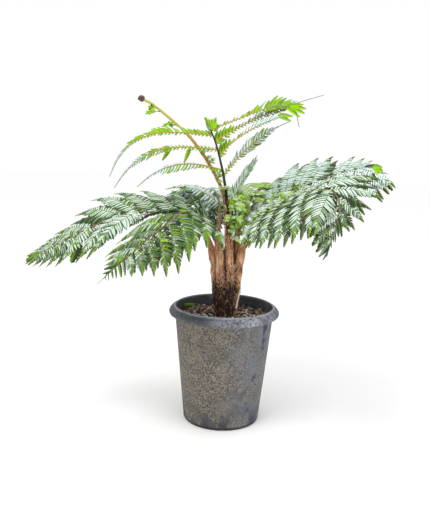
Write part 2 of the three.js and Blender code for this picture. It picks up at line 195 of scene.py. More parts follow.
FRONDS = [
    frond_row("front_left", [[-15, -22, 430], [-21, -30, 476], [-50, -70, 555], [-101, -120, 587],
              [-143, -165, 566], [-206, -224, 515], [-292, -300, 438]],
        foot=12, azimuth=228, roll=[26, 12, 0, 0], bare=0.19, bend=0.5, pairs=13, reach=[140, 178],
        start=[0.9, 0.7], peak=0.8, taper=[1.2, 1.3], hang=[1.6, 1.2], lift=[-38, 14], face=[1, 0],
        sweep=[64, 72], closing=[4, 28], tone=-0.24, young=0.3, fresh=0.7, pitch=0.64, between=0.72),
    frond_row("front_right", [[34, -12, 430], [50, -32, 511], [82, -86, 582], [150, -175, 633],
              [214, -256, 662], [240, -300, 628], [216, -318, 518]],
        foot=12, azimuth=-46, turn=-10, roll=[22, 42, 42, 5], bend=0.68, pairs=13, reach=[215, 195],
        start=[0.8, 0.5], peak=0.7, taper=[1.5, 0.75], hang=[0.9, 0.8], lift=[-18, 5], face=[0, 1],
        sweep=[72, 106], closing=[28, 66], fresh=0.2, tone=0.08, pitch=0.76),
    frond_row("left", [[-29, -6, 430], [-51, -10, 507], [-90, -22, 554], [-192, -45, 575], [-290, -64, 562],
              [-450, -95, 479], [-509, -100, 450]],
        foot=12, azimuth=188, roll=[-28, -26, -20], bare=0.2, bend=0.56, pairs=13, reach=[195, 185],
        start=[0.78, 0.8], peak=0.6, taper=[0.75, 0.7], hang=[0.95, 0.8], sweep=[54, 68], closing=[36, 30],
        tone=0.12, dusk=0.22, pitch=0.76, between=0.96, under=[0.30, 0.30, 0.28, 0.12]),
    frond_row("right", [[30, 7, 430], [33, 20, 513], [58, 30, 568], [173, 42, 635], [300, 32, 686],
              [370, 14, 703], [401, 0, 691]],
        foot=12, azimuth=8, turn=-15, roll=[-20, 0, 26, 28, 15], bare=0.21, bend=0.62, pairs=13,
        reach=[228, 230], start=[0.5, 0.3], peak=0.45, taper=[0.9, 0.36], hang=[0.7, 1.5], sweep=[72, 74],
        closing=[28, 40], stalk_radius=[8.5, 7, 5.4, 4.4, 4], tone=0.4, pitch=0.76, between=0.94,
        under=[0.16, 0.26, 0.34, 0.24]),
    frond_row("back_right", [[19, 21, 430], [24, 28, 500], [44, 52, 570], [92, 115, 630], [180, 235, 630],
              [260, 340, 520]],
        azimuth=52, bare=0.28, stalk_radius=SLIM_STALK, tone=0.5, fresh=0.3, young=0.08, pale=0.82,
        between=0.5),
    frond_row("back_left", [[-19, 16, 430], [-21, 20, 509], [-22, 42, 590], [-47, 100, 627],
              [-130, 200, 602], [-221, 300, 522]],
        azimuth=140, bare=0.28, reach=[150, 190], stalk_radius=SLIM_STALK, tone=0.5, between=0),
    frond_row("back", [[3, 25, 430], [4, 32, 500], [0, 70, 565], [-8, 150, 605], [-16, 260, 600],
              [-30, 420, 465]],
        azimuth=97, bare=0.28, stalk_radius=SLIM_STALK),
]

# Each arm of the young fronds also says how much of it is lime green, from its root, how long its
# blades are from root to tip, and how much of that the upper and the lower ones have
ARM_VALUES = ("height", "azimuth", "rise", "length", "hang", "late", "lime", "blades", "sides")


def arm_rows(*rows):
    return [Row(**dict(zip(ARM_VALUES, row))) for row in rows]


TALL_FROND = frond_row(
    "tall",
    [[10, -23, 430], [8, -24, 487], [-1, -30, 583], [-12, -40, 661], [-32, -50, 740], [-50, -56, 787]],
    bare=0.62, stalk_radius=[9, 7.5, 4.4, 4.1, 3.8], tip_radius=2,
    arms=arm_rows(
        (669, 6, 58, 225, 0.63, 0.7, 0.12, [12, 12, 14, 20, 27, 30, 27, 17, 6, 0, 0], [1, 0.6]),
        (684, 203, 15, 243, 1.23, 1.6, 0.3, [12, 10, 9, 14, 24, 26, 22, 10, 5, 4, 0], [0.4, 1]),
        (717, -11, 53, 197, 0.64, 0.6, 0.38, [36, 32, 10, 12, 16, 22, 25, 20, 8, 0], [1, 0.3]),
        (736, 187, 5, 300, 1.85, 2.2, 0.6, [12, 14, 10, 10, 14, 17, 18, 13, 6, 4, 0], [0.8, 0.8]),
        (752, 7, 36, 303, 0.35, 0.6, 0.3, [30, 30, 12, 13, 15, 22, 25, 18, 2, 0, 0], [1, 0.5]),
        (769, 188, 4, 310, 2.77, 3, 0.72, [16, 17, 19, 22, 22, 19, 16, 12, 8, 6, 0], [1, 0.4]),
        (785, 3, 23, 266, 5.5, 7.7, 0.8, [9, 10, 11, 12, 16, 30, 38, 34, 12, 0, 0], [1, 0.4]),
        (786, 200, 72, 24, 0, 1, 1, [10, 15, 15, 9], [1, 1]),
        (786, 15, 74, 24, 0, 1, 1, [10, 15, 15, 9], [1, 1]),
        (785, 40, 38, 22, 0.2, 1, 1, [8, 13, 13, 9], [1, 1])))

CURLED_FROND = frond_row(
    "curled",
    [[2, 1, 430], [-2, 0, 548], [-14, 0, 622], [-43, 0, 684], [-92, 0, 753], [-141, 0, 800],
     [-201, 0, 846], [-224, 0, 858]],
    bare=0.74, stalk_radius=[7, 5.5, 4.8, 4.2, 4.2, 4.2, 3.8], tip_radius=3,
    curl=(-232, 861, 10), foot=0,
    arms=arm_rows(
        (790, 200, 12, 40, 0.4, 1, 1, [0, 0, 4, 10, 10, 8], [1, 1]),
        (826, 195, 6, 40, 0.3, 1, 1, [0, 0, 0, 11, 12, 9], [1, 1])))

SMALL_FROND = frond_row(
    "small", [[13, 8, 430], [11, 14, 500], [12, 40, 584], [33, 70, 642], [76, 100, 711]],
    azimuth=60, roll=[65, 65], bare=0.5, stalk_radius=[3.4, 3, 2.6], foot=0, tone=0.6)


# Meshes
CUBE = np.array([(x, y, z) for x in (-1, 1) for y in (-1, 1) for z in (-1, 1)], float)
CUBE_FACES = np.array([(0, 1, 3, 2), (4, 6, 7, 5), (0, 4, 5, 1), (2, 3, 7, 6), (0, 2, 6, 4), (1, 5, 7, 3)])


class Heap:
    """Collects faces of one piece, each with the number of its material."""

    def __init__(self):
        self.points, self.faces, self.tones, self.count = [], [], [], 0

    def add(self, points, quads, tris=(), tone=0):
        """tone is one number, or one for each quad and then each tri."""
        points = np.reshape(points, (-1, 3))
        quads, tris = ((np.reshape(faces, (-1, corners)).astype(int) + self.count).tolist()
                       for faces, corners in ((quads, 4), (tris, 3)))
        self.points.append(points)
        self.faces += quads + tris
        self.tones.append(np.broadcast_to(tone, len(quads) + len(tris)))
        self.count += len(points)

    def make(self, name, materials, slot, replaces=(), smooth=True):
        mesh = bpy.data.meshes.new(name)
        mesh.from_pydata(np.vstack(self.points) * MM, [], self.faces, shade_flat=not smooth)
        for material in materials:
            mesh.materials.append(material)
        mesh.polygons.foreach_set("material_index", np.concatenate(self.tones).astype(int))
        obj = link(name, mesh)
        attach(obj, "root")
        if replaces:
            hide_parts(*replaces)
        return obj


def link(name, data):
    obj = bpy.data.objects.new(name, data)
    bpy.context.scene.collection.objects.link(obj)
    return obj


def add_rings(heap, rings, ends, tones=0):
    """A skin over closed rows of points. It closes in a point past the last row, and where ends has two
    points, in the second one before the first row."""
    rows, columns = rings.shape[:2]
    r, c = np.arange(rows - 1)[:, None] * columns, np.arange(columns)
    n = (c + 1) % columns
    quads = np.stack([r + c, r + n, r + n + columns, r + c + columns], -1)
    top = np.full(columns, rows * columns)
    tris = [np.stack([top, top - columns + c, top - columns + n], 1)]
    if len(ends) == 2:
        tris.append(np.stack([top + 1, n, c], 1))
    heap.add(np.vstack([rings.reshape(-1, 3), ends]), quads, np.vstack(tris), tones)


def add_tube(heap, line, radii, sides, tone=0, waves=(), rough=1):
    """A round limb along a line, with its ends drawn in to points.

    Each wave of its relief has its length, how many go round, its seed and its height."""
    line = np.asarray(line, float)
    along = tangents(line)
    across = np.zeros_like(line)
    across[0] = unit(np.cross(along[0], vec(0.31, 0.95, 0.12)))
    for k in range(1, len(line)):
        across[k] = unit(across[k - 1] - along[k] * np.dot(across[k - 1], along[k]))
    other = np.cross(along, across)
    turn = np.arange(sides) * TAU / sides
    run = np.linspace(0, length_of(line), len(line))[:, None]
    r = radii[:, None]
    for length, around, seed, height in waves:
        r = r + round_noise(turn, run / length, around, seed) * height * rough
    r = np.broadcast_to(r, (len(line), sides))[..., None]
    out, _ = turned_pair(across[:, None], other[:, None], turn[:, None])
    rings = line[:, None] + out * r
    ends = [line[-1] + along[-1] * r[-1].mean() * 0.6, line[0] - along[0] * r[0].mean() * 0.4]
    add_rings(heap, rings, ends, tone)


# The rule of the fronds, as in the solids
def reach_at(s, start, peak, taper):
    rise = start + (1 - start) * math.sin(min(1, s / peak) * math.pi / 2)
    return rise * (1 - max(0, (s - peak * 0.6) / (1 - peak * 0.6))) ** taper


def frame_on(frond, t):
    """A place on the midline, and the ways along, across and above it."""
    along = direction_on(frond.curve, t)
    level = pointing(frond.azimuth + frond.turn * t + 90)
    level = unit(level - along * np.dot(level, along))
    across, above = turned_pair(level, np.cross(along, level), math.radians(keyed(frond.roll, t)))
    return point_on(frond.curve, t), along, across, above


def hanging_line(start, first, lean, normal, length, hang, late):
    """A midline that sets off one way and hangs more and more, and the way across it at each step."""
    steps = int(min(6, max(2, math.floor(length / 26 + 0.5))))
    midline, ways = [start], []
    for k in range(steps):
        u = (k + 0.5) / steps
        way = unit(first - UP * hang * u**late + lean * u)
        midline.append(midline[-1] + way * length / steps)
        ways.append(unit(np.cross(normal, way)))
    return Row(midline=np.array(midline), ways=np.array(ways), length=length)


def leaflet_line(frond, place, side, shrink=1):
    at, along, across, above = frame_on(frond, mix(frond.bare, 1, place))
    start, reach, taper, hang, lift, face, sweep, closing = (
        getattr(frond, value)[0 if side > 0 else 1]
        for value in ("start", "reach", "taper", "hang", "lift", "face", "sweep", "closing"))
    length = reach * shrink * reach_at(place, start, frond.peak, taper)
    out, _ = turned_pair(across * side, above, math.radians(lift))
    first, _ = turned_pair(along, out, math.radians(sweep - closing * place))
    hang = hang * (0.4 + 0.6 * length / reach)
    return hanging_line(at, first, along * 0.15, above + FORWARD * face, length, hang, 1.5)


def arm_line(frond, arm, shrink=1):
    high = [p for p in frond.curve if p[2] >= arm.height]
    start = high[0] if high else frond.curve[-1]
    first = pointing(arm.azimuth, arm.rise)
    over = np.cross(first, pointing(arm.azimuth + 90))
    normal, _ = turned_pair(over, FORWARD, math.radians(ARM_TILT))
    return hanging_line(start, first, 0 * UP, normal, arm.length * shrink, arm.hang, arm.late)


def tree_of(name):
    """The surface of a solid, to ask how far a point is from it."""
    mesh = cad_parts[name].data
    return BVHTree.FromPolygons([v.co for v in mesh.vertices], [list(p.vertices) for p in mesh.polygons])


def grown_line(tree, make):
    """The leaflet as long as its solid was let grow, or None where it was left out."""
    for shrink in (1, 0.88, 0.76, 0.64, 0.52, 0.4):
        line = make(shrink)
        if all(tree.find_nearest(p * MM)[3] <= SOLID_REACH * MM for p in line.midline[1:]):
            return line
    return None


# Materials, with heights and places in metres
EVEN = (1, 1, 1)
UPRIGHT = (1, 1, 0.15)


class Finish:
    """A material whose colour is laid on coat by coat, by masks made of noise and height."""

    def __init__(self, name, color, roughness, specular=0.5):
        self.made = bpy.data.materials.new(name)
        self.made.use_nodes = True
        self.tree = self.made.node_tree
        self.shader = self.tree.nodes["Principled BSDF"]
        self.last = (*color, 1)
        self.fill(self.shader, {"Base Color": self.last, "Roughness": roughness,
                                "Specular IOR Level": specular})

    def fill(self, node, values):
        """A value goes on the socket itself, and another node's output is linked to it."""
        for key, value in values.items():
            if isinstance(value, bpy.types.NodeSocket):
                self.tree.links.new(value, node.inputs[key])
            else:
                node.inputs[key].default_value = value

    def node(self, kind, values, output=0, **settings):
        node = self.tree.nodes.new("ShaderNode" + kind)
        for key, value in settings.items():
            setattr(node, key, value)
        self.fill(node, values)
        return node.outputs[output]

    @cached_property
    def place(self):
        return self.node("TexCoord", {}, "Object")

    def noise(self, scale, stretch=EVEN, detail=4, shift=0):
        moved = self.node("Mapping", {"Vector": self.place, "Scale": stretch, "Location": [shift] * 3})
        return self.node("TexNoise", {"Vector": moved, "Scale": scale, "Detail": detail})

    def axis(self, number):
        return self.node("SeparateXYZ", {0: self.place}, number)

    def ramp(self, value, low, high, strength=1):
        return self.node("MapRange", {"Value": value, "From Min": low, "From Max": high, "To Max": strength})

    def both(self, first, second, how="MULTIPLY"):
        return self.node("Math", {0: first, 1: second}, operation=how)

    def lay(self, tint, mask, *limits):
        """A coat of colour where the mask is high, or where it goes from one limit to the other."""
        mask = self.ramp(mask, *limits) if limits else mask
        self.last = self.node("Mix", {6: self.last, 7: (*tint, 1), 0: mask}, 2, data_type="RGBA")
        self.fill(self.shader, {"Base Color": self.last})

    def bump(self, height, depth, strength=0.8):
        bent = self.node("Bump", {"Height": height, "Distance": depth, "Strength": strength})
        self.fill(self.shader, {"Normal": bent})


def plain(name, color, roughness, specular=0.5):
    return Finish(name, color, roughness, specular).made


def palette(kind, **rows):
    """Plain materials. A row has the colour's red, green and blue, the roughness and the specular level."""
    return [plain(f"{kind}_{name}", row[:3], *row[3:]) for name, row in rows.items()]


LEAVES = palette(
    "leaf",
    silver=(0.51, 0.635, 0.51, 0.6, 0.3),
    mint=(0.21, 0.31, 0.185, 0.6, 0.3),
    green=(0.078, 0.155, 0.032, 0.6, 0.3),
    deep=(0.018, 0.042, 0.010, 0.65, 0.3),
    lime=(0.27, 0.53, 0.004, 0.7, 0.15),
    pale=(0.50, 0.64, 0.27, 0.65, 0.2),
    dull=(0.16, 0.15, 0.075, 0.6, 0.3),
    frost=(0.68, 0.80, 0.79, 0.55, 0.3),
    olive=(0.155, 0.285, 0.016, 0.65, 0.2))
SILVER, MINT, GREEN, DEEP, LIME, PALE, DULL, FROST, OLIVE = range(len(LEAVES))
# What the shaded half of a blade shows beside its lit half: a darker tone, painted shade. The softer rows
# paint less of it.
SHADED = np.array([GREEN, DEEP, DEEP, DEEP, OLIVE, OLIVE, DEEP, MINT, DEEP])
SOFTLY_SHADED = np.array([GREEN, GREEN, GREEN, DEEP, OLIVE, OLIVE, DEEP, MINT, OLIVE])
BARELY_SHADED = np.array([SILVER, MINT, OLIVE, GREEN, LIME, LIME, DULL, FROST, OLIVE])
RIBS = palette(
    "rib",
    green=(0.20, 0.27, 0.08, 0.6),
    orange=(0.44, 0.26, 0.035, 0.6),
    brown=(0.16, 0.075, 0.035, 0.7),
    dark=(0.022, 0.015, 0.016, 0.6),
    grey=(0.30, 0.34, 0.28, 0.6),
    olive=(0.42, 0.40, 0.06, 0.6),
    old=(0.20, 0.14, 0.065, 0.6),
    curl=(0.085, 0.036, 0.042, 0.5))
GREEN_RIB, ORANGE_RIB, BROWN_RIB, DARK_RIB, GREY_RIB, OLIVE_RIB, OLD_RIB, CURL_RIB = range(len(RIBS))
STRANDS = palette(
    "strand",
    orange=(0.74, 0.38, 0.20, 0.8, 0.2),
    tan=(0.85, 0.57, 0.36, 0.8, 0.2),
    brown=(0.22, 0.10, 0.05, 0.85, 0.2),
    black=(0.040, 0.026, 0.020, 0.85, 0.2),
    pale=(0.68, 0.55, 0.42, 0.8, 0.2))
ORANGE_STRAND, TAN_STRAND, BROWN_STRAND, BLACK_STRAND, PALE_STRAND = range(len(STRANDS))
EARTH = palette(
    "chip",
    dark=(0.030, 0.020, 0.016, 0.95, 0.2),
    brown=(0.12, 0.065, 0.042, 0.95, 0.2),
    tan=(0.38, 0.25, 0.16, 0.9, 0.2),
    pale=(0.70, 0.62, 0.55, 0.9, 0.2),
    black=(0.008, 0.006, 0.006, 0.95, 0.2))


def bark_finish():
    """Light and dark fibres, with painted shadow at the foot, the same dark on the left of its lower half,
    and darker at the very top.
    """
    f = Finish("bark", (0.78, 0.40, 0.205), 0.95, 0.15)
    fibres = f.noise(170, UPRIGHT, 6)
    coarse = f.noise(60, (1, 1, 0.3), 5, 3.1)
    f.lay((0.94, 0.67, 0.44), fibres, 0.50, 0.60)
    f.lay((0.045, 0.024, 0.018), fibres, 0.46, 0.39)
    f.lay((0.09, 0.045, 0.028), coarse, 0.47, 0.37, 0.7)
    f.lay((0.26, 0.11, 0.045), f.axis(2), 0.425, 0.470, 0.75)
    left = f.ramp(f.axis(0), 0.030, 0.014)
    patchy = f.ramp(f.noise(90, EVEN, 5, 7.3), 0.34, 0.52)
    low = f.both(f.ramp(f.axis(2), 0.415, 0.372), patchy)
    low = f.both(f.both(low, f.ramp(f.axis(2), 0.385, 0.362, 0.85), "MAXIMUM"), left)
    # Painted shadow at the foot, in one coat with the dark on the left of the lower half.
    foot = f.both(f.ramp(f.axis(2), 0.350, 0.300), patchy)
    f.lay((0.042, 0.029, 0.024), f.both(low, foot, "MAXIMUM"))
    f.lay((0.56, 0.41, 0.30), f.noise(230, EVEN, 3, 15.1), 0.58, 0.65)
    f.bump(fibres, 0.004)
    return f.made


def stalk_finish(name, low, high, change, softness=0.05, streak=(0.07, 0.03, 0.017)):
    """Fibrous brown at the foot, changing to the stalk's own colour by height."""
    f = Finish(name, low, 0.8, 0.3)
    fibres = f.noise(190, UPRIGHT, 6)
    f.lay((0.48, 0.26, 0.135), fibres, 0.53, 0.70)
    f.lay(streak, fibres, 0.46, 0.36)
    f.lay(high, f.both(f.ramp(f.axis(2), change - softness, change + softness),
                       f.ramp(f.noise(120, (1, 1, 0.3), 3, 5.0), 0.25, 0.45)))
    f.bump(fibres, 0.002)
    return f.made


def pot_body_finish():
    """Speckled grey-brown, cooler and scuffed on its right side, and dark low down."""
    f = Finish("pot_body", (0.135, 0.120, 0.098), 0.75, 0.3)
    grain = f.noise(235)
    side = f.ramp(f.axis(0), -0.005, 0.10)
    cool = f.both(side, f.ramp(f.noise(11, EVEN, 3, 9.0), 0.30, 0.52))
    low = f.ramp(f.axis(2), 0.075, 0.012)
    f.lay((0.25, 0.225, 0.185), grain, 0.53, 0.62, 0.95)
    f.lay((0.048, 0.046, 0.045), grain, 0.48, 0.39, 0.95)
    f.lay((0.085, 0.080, 0.078), f.noise(16, shift=2.0), 0.46, 0.34, 0.6)
    f.lay((0.26, 0.22, 0.175), f.noise(22, (1, 1, 0.6), 4, 4.0), 0.56, 0.70, 0.45)
    f.lay((0.42, 0.38, 0.32), f.noise(430, EVEN, 2, 1.0), 0.64, 0.70, 0.75)
    f.lay((0.150, 0.175, 0.220), f.both(cool, f.ramp(f.noise(150, shift=3.3), 0.30, 0.62)))
    f.lay((0.048, 0.052, 0.064), f.both(low, f.ramp(f.noise(28, shift=6.0), 0.40, 0.58)))
    f.lay((0.045, 0.050, 0.068), f.both(f.ramp(f.noise(24, (1, 1, 0.7), 3, 12.5), 0.60, 0.66), side))
    f.lay((0.012, 0.011, 0.011), f.axis(2), 0.011, 0.002)
    f.bump(grain, 0.0008, 0.5)
    return f.made


def pot_rim_finish():
    """Dark grey, with a pale painted highlight in front and to the right, and a lighter painted highlight
    along its top.
    """
    f = Finish("pot_rim", (0.040, 0.044, 0.052), 0.5)
    grain = f.noise(300, EVEN, 3)
    f.lay((0.17, 0.175, 0.185), grain, 0.54, 0.66, 0.7)
    # A pale painted highlight on the rim's front and right.
    painted_highlight = f.both(f.ramp(f.axis(0), -0.055, 0.045), f.ramp(f.axis(1), -0.02, -0.12))
    f.lay((0.40, 0.44, 0.51), f.both(painted_highlight, f.ramp(f.noise(140, EVEN, 5, 5.5), 0.34, 0.58, 0.75)))
    f.lay((0.045, 0.052, 0.070), f.noise(40, shift=3.0), 0.48, 0.36, 0.7)
    f.lay((0.20, 0.19, 0.175), f.noise(30, shift=8.0), 0.58, 0.72, 0.6)
    # A lighter painted highlight along the rim's top edge.
    f.lay((0.30, 0.33, 0.38), f.both(f.ramp(f.axis(2), 0.3155, 0.3185), f.ramp(grain, 0.3, 0.5)))
    f.fill(f.shader, {"Roughness": f.ramp(f.noise(60, EVEN, 3, 2.2), 0, 0.7, 0.8)})
    f.bump(grain, 0.0005, 0.4)
    return f.made


def soil_finish():
    f = Finish("soil", (0.048, 0.033, 0.026), 1.0, 0.1)
    f.lay((0.10, 0.05, 0.03), f.noise(260, EVEN, 5), 0.52, 0.64)
    f.lay((0.32, 0.22, 0.15), f.noise(420, EVEN, 3, 4.0), 0.64, 0.70)
    f.bump(f.noise(230, EVEN, 5, 1.0), 0.006)
    return f.made


# Leaflets: fine lobed blades in two rows along a rib
LOBES = 6
# LIT_SHARE of a blade's width keeps its own tone, and the rest is painted shade.
LIT_SHARE = 0.53


def blade_template():
    """Places along one lobed blade, with its width and its forward lean at each."""
    rows = [(0.0, 0.5, 0.0)]
    for k in range(LOBES):
        rows.append(((k + 0.55) / LOBES * 0.94, 1.0, 0.035))
        if k < LOBES - 1:
            rows.append(((k + 1.0) / LOBES * 0.94, 0.72, 0.0))
    s, width, lean = np.array(rows).T[..., None]
    outline = np.minimum(1, 0.75 + 1.6 * s) * (1 - np.clip((s - 0.35) / 0.65, 0, 1) ** 1.7 * 0.82)
    return s, width * outline, lean


BLADE_S, BLADE_W, BLADE_LEAN = blade_template()


def add_blades(heap, start, way, side_way, above, length, width, tones, falcate, droop, roll, fold=0.5,
               shades=SHADED):
    """Many blades at once. Each array has one row for each blade, and one number stands for all of them.

    The half that faces the leaflet's tip is wider and keeps its tone; the other folds down and takes the
    darker tone from shades, painted shade."""
    start, way, side_way, above = (np.reshape(v, (-1, 1, 3)) for v in (start, way, side_way, above))
    length, width, falcate, droop, roll = (
        np.reshape(v, (-1, 1, 1)) for v in (length, width, falcate, droop, roll))
    edge, face = turned_pair(side_way, above, roll)

    def centre(at):
        return start + length * (way * at + (side_way * falcate - above * droop) * at**2)

    mid = centre(BLADE_S)
    wide = width * BLADE_W
    ahead = mid + way * length * BLADE_LEAN
    left = ahead + (edge - face * fold * 0.6) * wide * LIT_SHARE
    right = ahead - edge * wide * (1 - LIT_SHARE) - face * wide * fold * 0.8
    m, rows = mid.shape[:2]
    points = np.concatenate([np.stack([left, mid, right], 2).reshape(m, rows * 3, 3), centre(1)], 1)
    base = np.arange(m)[:, None, None] * (rows * 3 + 1)
    r = np.arange(rows - 1)[:, None] * 3
    lit = np.stack([r, r + 1, r + 4, r + 3], -1).reshape(1, -1, 4) + base
    top = (rows - 1) * 3
    tris = np.array([[top, top + 1, top + 3], [top + 1, top + 2, top + 3]]) + base
    both = np.stack([tones, shades[tones]])
    heap.add(points, np.vstack([lit, lit + 1]), tris, np.r_[np.repeat(both, rows - 1), both.T.ravel()])


def fine_line(line, step):
    """The leaflet's own midline again, finer, with its directions."""
    count = max(4, int(line.length / step))
    points = curve_through(line.midline, count)
    along = tangents(points)
    u = np.linspace(0, 1, count + 1)
    mids = (np.arange(len(line.ways)) + 0.5) / len(line.ways)
    ways = between(u, mids, line.ways)
    ways = unit(ways - along * (ways * along).sum(1, keepdims=True))
    return points, along, ways, np.cross(along, ways), u


def blade_places(length, spacing, stop):
    """Shares of a leaflet's length at which its blades stand, closer toward its tip."""
    places, run = [], spacing * 0.25
    while run < stop:
        places.append(run / length)
        run += spacing * (1 - 0.6 * (run / length) ** 3)
    return np.array(places)


# fill and slender bound a blade's width by its spacing and by its length, opening is its angle to the rib at
# the leaflet's root and tip, inner is the share of the rib that has its own colour, and end is the share of
# the leaflet that is one pointed blade
GROWN = dict(fill=1.3, pointed=0.95, plateau=0.42, rib=0.9, rib_tip=0.4, inner=1, opening=(78, 38),
             droop=0.25, falcate=0.22, slender=0.62, least=2.2, tilt=12, blades=None, sides=(1, 1), end=0,
             shades=SHADED)
YOUNG = dict(fill=1.35, opening=(68, 40), rib=1.7, slender=0.6, droop=0.1, tilt=-14, inner=0.62,
             rib_tip=0.65, shades=SOFTLY_SHADED)
FAN = dict(fill=2.6, opening=(34, 22), rib=0.9, slender=0.9, tilt=0, shades=SOFTLY_SHADED)


def add_leaflet(leaves, ribs, line, rng, half, spacing, tone_of, rib_tone, **changes):
    """One leaflet of a frond: a rib with blades down both sides, closing to a fine point."""
    style = Row(**{**GROWN, **changes})
    points, along, ways, above, u = fine_line(line, 5)
    length = line.length
    radii = style.rib * mix(1, style.rib_tip, u)
    turn = int(len(u) * style.inner)
    add_tube(ribs, points[:turn], radii[:turn], 5, rib_tone)
    if turn < len(u):
        add_tube(ribs, points[turn - 1:], radii[turn - 1:], 5, GREY_RIB)
    upper = 1 if ways[:, 2].mean() > 0 else -1
    places = blade_places(length, spacing, length * (1 - style.end * 0.7) - 1.5)
    if style.end:
        first = int(len(u) * (1 - style.end))
        way = points[-1] - points[first]
        # A lower-layer leaflet, with the old rib, ends in a green blade instead of an olive one: painted
        # shade.
        add_blades(leaves, points[first], unit(way), ways[first], above[first], np.linalg.norm(way),
                   half * 0.34 + 1.5, [OLIVE if rib_tone != OLD_RIB else GREEN], 0, 0, 0, 0.2)
    n = len(places)
    for side in (1, -1):
        spot = np.clip(places + (side * 0.25 + rng.normal(0, 0.08, n)) * spacing / length, 0.005, 0.995)
        root, t, w, a = (between(spot, u, values) for values in (points, along, ways, above))
        angle = np.radians(mix(*style.opening, spot**1.3) + rng.normal(0, 3.5, n))[:, None]
        a = unit(a)
        way, back = turned_pair(unit(t), unit(w) * side, angle)
        closing = np.minimum(1, (1 - spot) / (1 - style.plateau)) ** style.pointed
        blade = half * np.minimum(1, 0.66 + 1.7 * spot) * closing * rng.normal(1, 0.05, n)
        blade = np.maximum(blade, style.least)
        if style.blades is not None:
            blade = keyed(style.blades, spot) * style.sides[0 if side == upper else 1]
            blade = blade * rng.normal(1, 0.1, n) + 0.6
        width = np.minimum(spacing * (1 - 0.6 * spot**3) * style.fill, blade * style.slender)
        roll = np.radians(rng.normal(style.tilt, 6, n))
        droop = style.droop + rng.normal(0, 0.06, n)
        add_blades(leaves, root, way, -back, a, blade, width, tone_of(spot, a, n), style.falcate, droop,
                   roll, shades=style.shades)


def add_lone_blade(leaves, root, tip, width, tone):
    root, tip = np.array(root, float), np.array(tip, float)
    way = unit(tip - root)
    above = unit(np.cross(way, np.cross([0, -1, 0.2], way)))
    add_blades(leaves, root, way, np.cross(way, above), above, np.linalg.norm(tip - root), width, [tone],
               0.05, 0.05, 0, 0.2)


def grown_tones(rng, row, along=0):
    """Silvery where a leaflet lies flat, partly its own colour and partly a painted sky reflection, greener
    where it hangs, lime here and there near its root.
    """
    spray = rng.normal(0, 0.09)
    green_tip = row.fresh * rng.uniform(0.6, 1.4)
    patch = row.young * rng.random() ** 2 * 2

    def tones(spot, above, n):
        light = 0.50 + row.tone - row.dusk * along + spray
        # Flat leaflets are painted lighter, toward silver and frost, as painted sky reflection.
        x = light + 0.30 * np.abs(above[:, 2]) - 0.22 * spot**2 + rng.normal(0, 0.12, n)
        tone = np.select([x > 0.95, x > 0.56, x > 0.34], [FROST, SILVER, MINT], GREEN)
        tone = np.where(rng.random(n) < green_tip * (0.3 + 1.6 * spot**3), OLIVE, tone)
        tone = np.where(rng.random(n) < row.pale, PALE, tone)
        lime = rng.random(n) < patch * np.clip(1.2 - 2.4 * spot, 0, 1)
        tone = np.where(lime, np.where(rng.random(n) < 0.45, LIME, OLIVE), tone)
        return np.where(rng.random(n) < 0.01, DULL, tone)
    return tones


def under_tones(rng, row):
    """The leaflets of the lower layer are painted in darker tones, as painted shade."""
    return lambda spot, above, n: rng.choice([DEEP, GREEN, MINT, SILVER], n, p=row.under)


def young_tones(rng, lime):
    def tones(spot, above, n):
        edge = spot + rng.normal(0, 0.07, n)
        outer = np.where(rng.random(n) < 0.72, FROST, np.where(rng.random(n) < 0.6, SILVER, PALE))
        inner = np.where(rng.random(n) < 0.75, LIME, np.where(rng.random(n) < 0.4, FROST, OLIVE))
        return np.where(edge < lime, inner, outer)
    return tones


